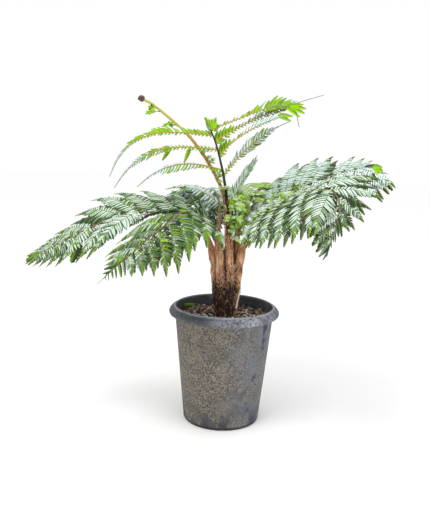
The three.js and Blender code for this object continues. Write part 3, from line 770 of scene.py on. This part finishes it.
# Single blades, each from its root to its tip, with its width and tone: new growth at one frond's tip, short
# blades at the feet of two others, and the large ones on the tall frond
LONE_BLADES = {
    "right": [
        (360, -84, 711, 380, -92, 708, 15, LIME), (360, -84, 710, 383, -92, 699, 16, LIME),
        (361, -84, 710, 374, -92, 692, 15, LIME), (356, -86, 692, 372, -92, 672, 11, OLIVE),
    ],
    "back_right": [
        (28, 16, 566, 33, 12, 612, 13, PALE), (30, 16, 566, 50, 12, 604, 13, SILVER),
        (30, 14, 562, 60, 10, 590, 12, PALE), (26, 12, 560, 18, 6, 598, 12, OLIVE),
        (28, 10, 552, 44, 4, 584, 12, PALE), (24, 8, 548, 22, 0, 586, 12, SILVER),
        (16, 36, 522, 8, 40, 590, 17, GREEN), (20, 36, 522, 24, 40, 592, 17, MINT),
        (24, 36, 524, 44, 40, 584, 17, GREEN), (28, 36, 530, 62, 40, 612, 17, MINT),
        (26, 36, 518, 58, 40, 560, 16, OLIVE),
    ],
    "left": [
        (-62, -12, 532, -101, -18, 566, 11, MINT), (-64, -12, 534, -97, -18, 578, 11, SILVER),
        (-62, -12, 536, -88, -18, 586, 11, MINT), (-60, -12, 538, -78, -18, 590, 11, GREEN),
        (-58, -12, 540, -70, -18, 588, 10, MINT), (-70, -14, 536, -108, -20, 556, 10, GREEN),
        (-58, 20, 552, -104, 22, 582, 16, MINT), (-56, 20, 556, -94, 22, 596, 16, SILVER),
        (-54, 20, 560, -80, 22, 600, 14, MINT), (-371, -120, 498, -389, -120, 444, 30, OLIVE),
    ],
    "tall": [
        (-47, -56, 785, -63, -58, 803, 15, LIME), (-46, -57, 785, -57, -59, 813, 16, LIME),
        (-45, -57, 785, -49, -59, 814, 16, LIME), (-44, -56, 785, -39, -58, 810, 15, LIME),
        (-43, -56, 784, -31, -58, 800, 13, OLIVE), (-102, -52, 740, -115, -54, 700, 12, LIME),
        (-152, -52, 738, -171, -54, 705, 12, LIME), (146, -58, 853, 180, -58, 858, 12, LIME),
        (148, -58, 852, 188, -58, 848, 13, LIME), (146, -58, 850, 186, -58, 836, 13, LIME),
        (140, -58, 848, 174, -58, 826, 12, LIME), (120, -58, 830, 156, -58, 828, 12, LIME),
        (116, -58, 828, 152, -58, 816, 12, LIME),
    ],
}
# A leaflet shorter than LONE_BELOW is one blade, and one shorter than LEAST_LEAFLET is left out. The tips of
# the lower layer hang UNDER_DROP lower.
LONE_BELOW = 46
LEAST_LEAFLET = 8
UNDER_DROP = 9
# How far down its stalk a blade's midrib starts, as a share of the whole length
RIB_LAP = 0.02


def leaflets_of(frond, halves):
    """Each leaflet's line, whether it is in the lower layer, and how far along its frond it stands."""
    trees = [(end, tree_of(node)) for end, node in halves]
    before = {1: 1.0, -1: 1.0}
    for i in np.arange(0, frond.pairs - 0.5, 0.5):
        along = 1 - (1 - (i + 0.4) / (frond.pairs + 0.4)) ** frond.crowd
        under = i % 1 > 0
        for side in (1, -1):
            spot = along + (0 if side > 0 else 0.012)
            line = full = leaflet_line(frond, spot, side)
            if under:
                line = leaflet_line(frond, spot, side, before[side] * frond.between)
                fall = np.linspace(0, 1, len(line.midline))[:, None] ** 0.5
                line.midline = line.midline - UP * UNDER_DROP * fall
            elif full.length >= SHORTEST_LEAFLET:
                tree = next(tree for end, tree in trees if mix(frond.bare, 1, spot) < end)
                line = grown_line(tree, lambda shrink: leaflet_line(frond, spot, side, shrink))
                before[side] = 0.4 if line is None else line.length / full.length
            if line is not None and line.length >= LEAST_LEAFLET:
                yield line, under, along


def make_foliage(name, leaves, ribs, slot, nodes=()):
    for blade in LONE_BLADES.get(name, []):
        add_lone_blade(leaves, blade[:3], blade[3:6], *blade[6:])
    leaves.make(f"foliage_{name}", LEAVES, slot, nodes)
    ribs.make(f"ribs_{name}", RIBS, "stalk")


def grow_frond(row):
    name, bare = row.name, row.bare
    rng = random_for(name)
    halves = [(mix(bare, 1, row.bend), f"frond_{name}_inner"), (2, f"frond_{name}_outer")]
    leaves, ribs = Heap(), Heap()
    for line, under, along in leaflets_of(row, halves):
        length, midline = line.length, line.midline
        if length < LONE_BELOW:
            add_lone_blade(leaves, midline[0], midline[-1], length * 0.30, rng.choice([MINT, GREEN, OLIVE]))
            continue
        # The lower layer takes darker tones, painted shade.
        tones = under_tones(rng, row) if under else grown_tones(rng, row, along)
        spacing = min(10.4, 5.4 + length * 0.034) * row.pitch
        half = min(31, 7 + 0.15 * length)
        add_leaflet(leaves, ribs, line, rng, half, spacing, tones, OLD_RIB if under else GREEN_RIB, rib=0.7,
                    end=0.24)
    t = np.linspace(bare - RIB_LAP, 1, 90)
    sunk = np.minimum(2.2, (t - t[0]) * 40)[:, None]
    line = point_on(row.smooth, t) - UP * sunk
    radii = np.interp(t, [t[0], bare + 0.10, 1],
                      [row.stalk_radius[-1], MIDRIB_RADIUS * 0.85, MIDRIB_TIP_RADIUS * 0.5])
    add_tube(ribs, line, radii, 8, OLD_RIB)
    make_foliage(name, leaves, ribs, "leaf", [node for _, node in halves])


def add_young_midrib(ribs, row, tip_radius, sides, tone):
    radii = np.linspace(row.stalk_radius[-1], tip_radius, 50)
    add_tube(ribs, point_on(row.smooth, np.linspace(row.bare - RIB_LAP, 1, 50)), radii, sides, tone)


def grow_tall(row):
    """Long arms of small leaflets, with bare threads at their ends, and a fan at the tip."""
    rng = random_for(row.name)
    leaves, ribs = Heap(), Heap()
    tree = tree_of("frond_tall")
    for arm in row.arms:
        line = grown_line(tree, lambda shrink: arm_line(row, arm, shrink)) or arm_line(row, arm, 0.4)
        spacing, rib_tone, style = (3.6, OLIVE_RIB, FAN) if line.length < 60 else (9.5, ORANGE_RIB, YOUNG)
        add_leaflet(leaves, ribs, line, rng, 0, spacing, young_tones(rng, arm.lime), rib_tone,
                    blades=arm.blades, sides=arm.sides, **style)
    add_young_midrib(ribs, row, row.tip_radius, 8, DARK_RIB)
    make_foliage("tall", leaves, ribs, "young_leaf", ["frond_tall"])


def grow_curled(row):
    """Two opening clumps on a bare stem that ends in a curl."""
    rng = random_for(row.name)
    leaves, ribs = Heap(), Heap()
    for arm in row.arms:
        add_leaflet(leaves, ribs, arm_line(row, arm), rng, 0, 3, young_tones(rng, 1), BROWN_RIB, rib=1.2,
                    opening=(75, 30), fill=1.6, slender=0.9, blades=arm.blades, sides=arm.sides)
    add_young_midrib(ribs, row, row.tip_radius + 0.5, 10, OLIVE_RIB)
    for x, z in ((-204, 838), (-158, 796)):
        for turn in np.arange(7) * TAU / 7:
            tip = vec(x + 11 * math.cos(turn), -5 + 3 * math.sin(2 * turn), z + 11 * math.sin(turn))
            add_lone_blade(leaves, vec(x, -3, z), tip, 11, rng.choice([LIME, LIME, OLIVE, PALE]))
    x, z, radius = row.curl
    add_curl(ribs, x, z, (radius - 3.2, 1.2), math.radians(200), -2.3, 1.2, np.linspace(3.6, 1.6, 110), 10,
             CURL_RIB)
    make_foliage("curled", leaves, ribs, "young_leaf", ["frond_curled"])


def add_curl(ribs, x, z, winding, start, turns, sway, radii, sides, tone):
    """A spiral in the plane of x and z, winding from one radius to another."""
    k = np.linspace(0, 1, len(radii))
    r, turn = mix(*winding, k), start + k * turns * TAU
    spiral = np.stack([x + r * np.cos(turn), sway * np.sin(k * 9), z + r * np.sin(turn)], 1)
    add_tube(ribs, spiral, radii, sides, tone)


def grow_small(row):
    rng = random_for(row.name)
    leaves, ribs = Heap(), Heap()
    t = np.linspace(row.bare - RIB_LAP, 1, 9)
    midline = point_on(row.curve, t)
    ways = np.array([frame_on(row, x)[2] for x in (t[1:] + t[:-1]) / 2])
    line = Row(midline=midline, ways=ways, length=length_of(midline))
    add_leaflet(leaves, ribs, line, rng, 0, 4.6, grown_tones(rng, row), GREEN_RIB, rib=1.6, opening=(48, 26),
                blades=[8, 22, 26, 26, 25, 22, 14])
    make_foliage("small", leaves, ribs, "leaf", ["frond_small"])


def grow_crown(stalks):
    """Small bright leaflets low on the stalks, each fourth one higher and on the last of them, and one more
    green curl that is just coming up."""
    rng = random_for("crown")
    leaves, ribs = Heap(), Heap()
    for k in range(96):
        high = k % 4 == 3
        stalk = stalks[-1] if high else stalks[k % (len(stalks) - 1)]
        at = point_at_height(stalk, rng.uniform(*((600, 735) if high else (505, 640))))
        first = pointing(rng.normal(-25, 50), rng.uniform(-5, 60))
        reach = rng.uniform(*((14, 26) if high else (30, 58)))
        line = hanging_line(at, first, 0 * UP, vec(0, -0.7, 0.7), reach, 0.9, 1.2)
        mixed = rng.choice([LIME, PALE, OLIVE, SILVER, GREEN], 8, p=[0.20, 0.42, 0.13, 0.23, 0.02])
        add_leaflet(leaves, ribs, line, rng, 0, 5, lambda spot, above, n: mixed[np.arange(n) % 8], OLIVE_RIB,
                    rib=0.8, opening=(64, 36), blades=np.array([6, 11, 12, 11, 6]) * min(1, reach / 30),
                    slender=0.55, shades=BARELY_SHADED)
    stem = curve_through([[20, 10, 500], [34, 4, 548], [46, 1, 574], [56, 0, 585], [56, 0, 594]], 20)
    add_tube(ribs, stem, np.linspace(2.6, 2.2, len(stem)), 8, GREEN_RIB)
    add_curl(ribs, 50.5, 593, (5.5, 1), 0, 1.7, 0.8, np.linspace(2.2, 1.1, 60), 8, GREEN_RIB)
    make_foliage("crown", leaves, ribs, "young_leaf")


# Bark, stalks and their fibres. The trunk's grooves run between the feet of its stalks.
GROOVES = 8
GROOVE_TURN = 3.98
HAIRS = 7600
# Where the hairs' shades of brown change over, as shares of all hairs
UPPER_HAIRS = [0.36, 0.56, 0.74, 0.92]
LOWER_HAIRS = [0.78, 0.92, 0.95, 0.97]


def add_strands(heap, roots, ways, lengths, thickness, tones, rng):
    """Fine hairs: each is a three-sided spike with one bend."""
    n = len(roots)
    across = unit(np.cross(ways, rng.normal(0, 1, (n, 3))))
    bend = rng.normal(0, 0.35, (n, 1)) * across
    turn = np.arange(3)[:, None] * TAU / 3
    ring, _ = turned_pair(across[:, None], np.cross(ways, across)[:, None], turn)
    ring = ring * thickness[:, None, None]
    middle = roots + unit(ways + bend * 0.5) * lengths[:, None] * 0.55
    tip = roots + unit(ways + bend) * lengths[:, None]
    points = np.concatenate([roots[:, None] + ring, middle[:, None] + ring * 0.8, tip[:, None]], 1)
    base = np.arange(n)[:, None, None] * 7
    quads = np.array([[0, 1, 4, 3], [1, 2, 5, 4], [2, 0, 3, 5]]) + base
    tris = np.array([[3, 4, 6], [4, 5, 6], [5, 3, 6]]) + base
    heap.add(points, quads, tris, np.tile(np.repeat(tones, 3), 2))


# Bark and hairs in the grooves are painted dark, as painted shade.
def in_groove(turn, h):
    depth = np.cos(GROOVES * turn + GROOVE_TURN) + 0.35 * round_noise(turn, h * 12, 40, 8)
    return (depth < -0.80) & (h > 0.5)


def trunk_radius(turn, h):
    """The bark's surface at a share of its height: the solid's own widths, with fibrous relief."""
    foot, top = TRUNK_FOOT_RADIUS, TRUNK_TOP_RADIUS
    widths = np.interp(h, [0, 0.08, 0.22, 0.4, 0.6, 0.8, 1],
                       [foot + 1.5, foot, foot + 1.5, top - 2, top - 0.5, top, top + 0.5])
    ribs = 1 + 0.055 * h * np.cos(GROOVES * turn + GROOVE_TURN) + 0.015 * np.sin(3 * turn + 4 * h)
    relief = (round_noise(turn, h * 9, 34, 1) * 0.9 + round_noise(turn, h * 30, 70, 2) * 0.6
              + round_noise(turn, h * 5, 12, 3) * 1.6)
    lumps = round_noise(turn, h * 22, 24, 5) * 1.6 * np.clip(1.2 - 3 * h, 0, 1)
    return widths * ribs - 3.4 + relief + lumps


def trunk_point(turn, h, r, z):
    return np.stack([mix(TRUNK_FOOT_X, TRUNK_TOP_X, h) + r * np.cos(turn), r * np.sin(turn), z], -1)


def make_trunk():
    heap = Heap()
    columns, rows = 240, 150
    turn, h = np.meshgrid(np.arange(columns) * TAU / columns, np.linspace(0, 1, rows))
    r = trunk_radius(turn, h)
    side = trunk_point(turn, h, r, mix(SOIL_LEVEL - 1, TRUNK_TOP - 3, h))
    share = np.arange(8, 0, -1)[:, None] / 9
    turn_in, r = turn[0], r[-1] * share
    heaped = 2.5 * lattice_noise(r * np.cos(turn_in) / 6, r * np.sin(turn_in) / 6, 4)
    top = trunk_point(turn_in, 1, r, TRUNK_TOP - 4 + heaped - 7 * np.sin(math.pi * share))
    # Faces in the grooves take the second material, painted shade.
    groove_shade = np.r_[in_groove(turn[:-1], h[:-1]).ravel(), np.zeros((len(top) + 1) * columns)]
    add_rings(heap, np.concatenate([side, top]), [(TRUNK_TOP_X, 0, TRUNK_TOP - 6)], groove_shade)
    for row in [*FRONDS, TALL_FROND]:
        add_stalk_foot(heap, row)
    hub = curve_through([[3, 1, 430], [4, 2, 446], [7, 4, 462], [10, 4, 478], [12, 6, 492]], 24)
    hub_radii = keyed([31, 27, 20, 12, 3], np.linspace(0, 1, len(hub)))
    # The hub between the stalks takes the same painted shade.
    add_tube(heap, hub, hub_radii, 60, 1, [(9, 14, 41, 1.6), (4, 30, 42, 0.8)])
    groove_shade_finish = plain("bark_gap", (0.075, 0.042, 0.027), 0.95)
    heap.make("trunk_bark", [bark_finish(), groove_shade_finish], "trunk", ["trunk"])


def add_stalk_foot(heap, frond):
    """A stalk's old foot goes on down the outside of the trunk, and dies away in it.

    Each row has a height, a share of the foot's radius, and below the stalk how far out it stands."""
    x, y, _ = frond.path[0]
    rows = [(504, 0.42, 0), (488, 0.74, 0), (470, 0.98, 0), (452, 1.12, 0), (434, 1.18, 1), (420, 1.2, 0.99),
            (398, 1.14, 0.93), (368, 1.0, 0.85), (338, 0.8, 0.72), (318, 0.5, 0.6)]
    line = curve_through([(x * out + 2 * (1 - out), y * out, z) if out else point_at_height(frond, z)
                          for z, _, out in rows], 70)
    heights, widths, _ = np.array(rows[::-1]).T
    radii = np.interp(line[:, 2], heights, widths * frond.foot * 0.86)
    add_tube(heap, line, radii, 36, 0, [(14, 14, frond.foot + x, 0.8), (5, 26, x, 0.5)])


def stalk_line(frond, foot):
    """The stalk from a little inside the trunk up to where its blade starts."""
    line = point_on(frond.smooth, np.linspace(0, frond.bare - RIB_LAP, 70))
    return line[line[:, 2] > foot]


def make_stalk(frond, finish):
    name = frond.name
    line = stalk_line(frond, TRUNK_TOP - 12)
    over = line[:, 2] - TRUNK_TOP
    radii = keyed(frond.stalk_radius, np.linspace(0, 1, len(line))) - 0.2
    if frond.foot:
        radii = radii + 1.4 * np.clip(1 - over / 95, 0, 1) * np.clip(over / 40, 0, 1)
    seed = sum(map(ord, name)) % 50
    heap = Heap()
    add_tube(heap, line, radii, 30, 0, [(16, 10, seed, 0.7), (5, 20, seed + 1, 0.4)],
             np.clip(1.6 - over / 90, 0.25, 1.6)[:, None])
    heap.make(f"stalk_{name}_bark", [finish], "stalk", [f"stalk_{name}"])


def make_strands():
    rng = random_for("strands")
    heap = Heap()
    n = HAIRS
    turn = rng.random(n) * TAU
    h = rng.random(n) ** 0.8
    roots = trunk_point(turn, h, trunk_radius(turn, h) + 0.5, mix(SOIL_LEVEL, TRUNK_TOP - 4, h))
    out, around = turned_pair(vec(1, 0, 0), vec(0, 1, 0), turn[:, None])
    ways = unit(UP * rng.choice([1, -1], n, p=[0.8, 0.2])[:, None] + out * rng.uniform(0.02, 0.30, (n, 1))
                + around * rng.normal(0, 0.42, (n, 1)))
    low = np.clip((0.74 - h) / 0.2 + rng.normal(0, 0.25, n), 0, 1) * np.where(roots[:, 0] > 24, 0.45, 1)
    pick = rng.random(n)
    upper = np.searchsorted(UPPER_HAIRS, pick)
    lower = np.array([BLACK_STRAND, BROWN_STRAND, ORANGE_STRAND, TAN_STRAND, PALE_STRAND])[
        np.searchsorted(LOWER_HAIRS, pick)]
    # Hairs in the grooves are black: painted shade.
    tones = np.where(in_groove(turn, h), BLACK_STRAND, np.where(rng.random(n) < low, lower, upper))
    add_strands(heap, roots, ways, rng.uniform(5, 13, n), rng.uniform(0.45, 1.25, n), tones, rng)
    for frond in [*FRONDS, TALL_FROND, CURLED_FROND]:
        add_stalk_strands(heap, frond, rng)
    heap.make("trunk_fibres", STRANDS, "trunk")


def add_stalk_strands(heap, frond, rng):
    line = stalk_line(frond, TRUNK_TOP - 35)
    n = len(line) * 9
    at = rng.random(n) ** 1.5
    centre = point_on(line, at)
    along = unit(np.diff(line, axis=0))[np.minimum((at * (len(line) - 1)).astype(int), len(line) - 2)]
    out = unit(np.cross(along, rng.normal(0, 1, (n, 3))))
    ways = unit(along + out * rng.uniform(0.05, 0.30, (n, 1)) + rng.normal(0, 0.10, (n, 3)))
    tones = rng.choice(5, n, p=[0.38, 0.24, 0.2, 0.1, 0.08])
    if frond is TALL_FROND:
        tones = np.where(centre[:, 2] > 515, BLACK_STRAND, tones)
    lengths = rng.uniform(6, 15, n) * np.clip(1.1 - at, 0.35, 1)
    roots = centre + out * (keyed(frond.stalk_radius, at)[:, None] + 0.1)
    add_strands(heap, roots, ways, lengths, rng.uniform(0.25, 0.65, n), tones, rng)


# Pot and soil
POT_STEPS = 168
NOTCH_HALF_SIZE = (8, 4.5, 3)
NOTCH_TURN = 0.6
CHIPS = 3600


def pot_profile():
    """(radius, height) from the middle of the underside up to the rim, and from there down the inside."""
    def wall(z):
        return POT_FOOT_RADIUS + POT_WALL_SLOPE * z
    foot, rim, lip, under, top = POT_FOOT_RADIUS, RIM_RADIUS, RIM_TOP_RADIUS, RIM_UNDERSIDE, POT_HEIGHT
    outside = [(0, 0), (foot * 0.6, 0), (foot - 5, 0), (foot - 2.2, 0.5), (foot - 0.6, 2), (wall(5), 5)]
    outside += [(wall(z), z) for z in range(15, under - 10, 10)]
    outside += [(wall(under - 8), under - 8), (wall(under - 5) + 0.5, under - 5),
                (wall(under - 2) + 2, under - 2), (rim - 8, under + 0.6)]
    rolled = [(rim - 4, under + 1.5), (rim - 1.6, under + 3.2), (rim - 0.4, under + 6), (rim, under + 9),
              (rim - 0.7, under + 12), (rim - 2.4, under + 15), (rim - 7, under + 20.5),
              (lip + 4.6, top - 3.6), (lip + 2.2, top - 1.4), (lip, top), (lip - 1.6, top - 0.5),
              (lip - 2.4, top - 3)]
    inside = [(wall(z) - POT_WALL, z) for z in (305, 298, 292, 280, 220, 150, 80, 20, POT_FLOOR)]
    return outside, rolled + inside + [(0, POT_FLOOR)]


def make_pot():
    outside, rest = pot_profile()
    radius, height = np.array(outside + rest, float)[1:-1].T[..., None]
    turn = np.arange(POT_STEPS) * TAU / POT_STEPS
    r = radius * (1 + 0.0012 * np.sin(2 * turn + 0.7) + 0.0007 * np.sin(5 * turn))
    rings = np.stack([r * np.cos(turn), r * np.sin(turn), height + 0 * r], -1)
    tones = np.repeat([0] * (len(outside) - 1) + [1] * (len(rest) - 2) + [1, 0], POT_STEPS)
    heap = Heap()
    add_rings(heap, rings, [(0, 0, POT_FLOOR), (0, 0, 0)], tones)
    cut_notches(heap.make("pot_shell", [pot_body_finish(), pot_rim_finish()], "pot", ["pot"]))


def cut_notches(pot):
    cutter = Heap()
    box = CUBE * NOTCH_HALF_SIZE + [POT_FOOT_RADIUS, 0, 0]
    for i in range(DRAIN_NOTCHES):
        turn = TAU * (i + 0.5) / DRAIN_NOTCHES - math.pi / 2 + NOTCH_TURN
        across, inward = turned_pair(vec(1, 0, 0), vec(0, 1, 0), turn)
        cutter.add(box @ [across, inward, UP], CUBE_FACES)
    tool = cutter.make("notches", [], "pot")
    cut = pot.modifiers.new("notches", "BOOLEAN")
    cut.operation = "DIFFERENCE"
    cut.object = tool
    cut.solver = "EXACT"
    shaped = bpy.data.meshes.new_from_object(pot.evaluated_get(bpy.context.evaluated_depsgraph_get()))
    pot.modifiers.clear()
    pot.data = shaped
    bpy.data.objects.remove(tool)


def soil_height(x, y):
    base = np.interp(np.hypot(x, y), [44, 60, 100, 133],
                     [SOIL_LEVEL, SOIL_LEVEL - 0.5, SOIL_LEVEL - 2.5, SOIL_AT_WALL])
    return base + 1.6 * lattice_noise(x / 11, y / 11, 1) + 1.2 * lattice_noise(x / 4.5, y / 4.5, 2)


def make_soil():
    heap = Heap()
    turn, r = np.meshgrid(np.arange(180) * TAU / 180, np.linspace(131, 2, 60))
    x, y = r * np.cos(turn), r * np.sin(turn)
    add_rings(heap, np.stack([x, y, soil_height(x, y)], -1), [(0, 0, SOIL_LEVEL)])
    heap.make("soil_bed", [soil_finish()], "soil", ["soil"])


def make_chips():
    """Crumbs of bark all over the soil, round the trunk."""
    rng = random_for("chips")
    heap = Heap()
    inner, wall = 32, 129
    turn = rng.random(CHIPS) * TAU
    r = np.sqrt(rng.uniform((inner / wall) ** 2, 1, CHIPS)) * (wall - 1)
    x, y = 4 + r * np.cos(turn), r * np.sin(turn)
    keep = np.hypot(x, y) < wall - 0.5
    x, y = x[keep], y[keep]
    n = len(x)
    size = rng.gamma(3.0, 0.75, n) + 0.9
    half = [size * rng.uniform(low, high, n) / 2 for low, high in ((0.8, 1.7), (0.5, 1.0), (0.25, 0.6))]
    shape = CUBE * np.stack(half, 1)[:, None]
    shape = shape * rng.uniform(0.55, 1.15, shape.shape)
    shape = tumbled(shape, rng.normal(0, 0.5, n), rng.normal(0, 0.5, n), rng.random(n) * TAU)
    z = soil_height(x, y) + 0.25 * size + rng.uniform(0, 1.2, n)
    tones = rng.choice(len(EARTH), n, p=[0.16, 0.27, 0.26, 0.25, 0.06])
    quads = CUBE_FACES + np.arange(n)[:, None, None] * len(CUBE)
    heap.add(shape + np.stack([x, y, z], 1)[:, None], quads, (), np.repeat(tones, len(CUBE_FACES)))
    heap.make("soil_chips", EARTH, "soil", smooth=False)


def tumbled(points, a, b, c):
    """Each row's points turned about X, then Y, then Z."""
    x, y, z = np.moveaxis(points, -1, 0)
    z, y = turned_pair(z, y, a[:, None])
    x, z = turned_pair(x, z, b[:, None])
    y, x = turned_pair(y, x, c[:, None])
    return np.stack([x, y, z], -1)


def make_litter():
    """A fallen leaflet on the soil and a dry strip of leaf that leans on the trunk."""
    leaves, strip = Heap(), Heap()
    add_blades(leaves, (-124, 72, 303), (1, -0.04, 0), (0.04, 1, 0), (0, -0.35, 0.94), 44, 17, [LIME], 0.02,
               0.03, 0.15)
    leaves.make("fallen_leaf", LEAVES, "young_leaf")
    line = curve_through([[42, -14, 390], [41, -20, 370], [36, -29, 346], [31, -37, 320]], 30)
    radii = np.interp(np.linspace(0, 1, len(line)), [0, 0.3, 1], [0.5, 2.0, 2.7])
    add_tube(strip, line, radii, 6, PALE_STRAND)
    strip.make("dry_strip", STRANDS, "trunk")


# The plant, from its fronds down to the pot
for row in FRONDS:
    grow_frond(row)
grow_tall(TALL_FROND)
grow_curled(CURLED_FROND)
grow_small(SMALL_FROND)
LEAFY_STALKS = [row for row in FRONDS if row.name in ("front_right", "right", "back_right", "back")]
grow_crown([TALL_FROND, SMALL_FROND, *LEAFY_STALKS, CURLED_FROND])
make_trunk()
STALK_FINISHES = {
    "tall": stalk_finish("stalk_black", (0.27, 0.115, 0.05), (0.014, 0.010, 0.012), 0.520, 0.012),
    "curled": stalk_finish("stalk_gold", (0.30, 0.13, 0.05), (0.47, 0.29, 0.055), 0.66, 0.06,
                           (0.20, 0.05, 0.02)),
    "small": stalk_finish("stalk_pale", (0.30, 0.20, 0.08), (0.30, 0.32, 0.13), 0.48, 0.04),
}
USUAL_FINISH = stalk_finish("stalk_brown", (0.22, 0.093, 0.039), (0.34, 0.22, 0.10), 0.56, 0.06)
for row in [*FRONDS, TALL_FROND, CURLED_FROND, SMALL_FROND]:
    make_stalk(row, STALK_FINISHES.get(row.name, USUAL_FINISH))
make_strands()
make_pot()
make_soil()
make_chips()
make_litter()


# Camera, light and floor, in metres and degrees. The focal length is in pixels of the photo's height.
CAMERA_PLACE = (-0.0295, -1.726, 0.761)
CAMERA_DOWN = 10.25
CAMERA_ROLL = 1.8
FOCAL_LENGTH = 650
PHOTO_HEIGHT = 516
SENSOR = 36


def place_camera():
    data = bpy.data.cameras.new("camera")
    data.sensor_width = SENSOR
    data.lens = FOCAL_LENGTH / PHOTO_HEIGHT * SENSOR
    data.clip_end = 20
    camera = link("camera", data)
    pitch, roll = math.radians(90 - CAMERA_DOWN), math.radians(CAMERA_ROLL)
    camera.matrix_world = (Matrix.Translation(CAMERA_PLACE) @ Matrix.Rotation(pitch, 4, "X")
                           @ Matrix.Rotation(roll, 4, "Z"))
    bpy.context.scene.camera = camera


def place_light(name, size, energy, at):
    """A square light that looks at the middle of the plant."""
    data = bpy.data.lights.new(name, "AREA")
    data.size = size
    data.energy = energy
    back = unit(np.array(at) - [0, 0, 0.45])
    side = unit(np.cross(UP, back))
    turn = Matrix(np.stack([side, np.cross(back, side), back], 1).tolist()).to_4x4()
    link(name, data).matrix_world = Matrix.Translation(at) @ turn


def place_stage():
    world = bpy.data.worlds.new("world")
    bpy.context.scene.world = world
    world.use_nodes = True
    sky = world.node_tree.nodes["Background"].inputs
    sky["Color"].default_value = (1, 1, 1, 1)
    sky["Strength"].default_value = 1
    mesh = bpy.data.meshes.new("floor")
    mesh.from_pydata([(-12, -12, 0), (12, -12, 0), (12, 12, 0), (-12, 12, 0)], [], [(0, 1, 2, 3)])
    mesh.materials.append(plain("floor", (0.985, 0.985, 0.985), 0.9, 0))
    floor = link("floor", mesh)
    floor.location.z = -0.0005


place_camera()
place_stage()
place_light("key", 1.2, 30, (-0.8, -1.0, 2.6))
place_light("fill", 2.0, 8, (1.8, -1.0, 1.8))
bpy.context.scene.view_settings.view_transform = "Standard"
